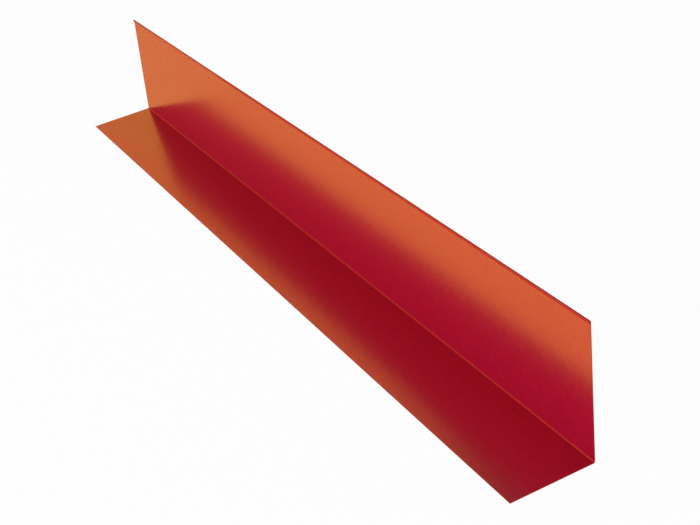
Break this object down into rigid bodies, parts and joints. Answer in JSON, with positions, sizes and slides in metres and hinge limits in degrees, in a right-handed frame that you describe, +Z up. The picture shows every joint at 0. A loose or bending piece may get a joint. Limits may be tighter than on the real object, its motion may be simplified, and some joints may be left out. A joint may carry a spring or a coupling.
{
  "type": "roof flashing",
  "caption": "Long bent sheet-metal flashing: a flat leg for the roof, an upright leg for the wall, and a hemmed safe edge along the top.",
  "frame": {"origin": "middle of the bounding box on the surface that the flat leg lies on", "axes": "+X along the fold, +Y towards the wall behind the upright leg, +Z up"},
  "size_m": [1, 0.0854, 0.1196],
  "materials": {
    "coated_sheet": "satin copper-red metallic coil coat on both faces"
  },
  "bodies": {
    "root": {"flashing_sheet": "coated_sheet"}
  },
  "joints": []
}
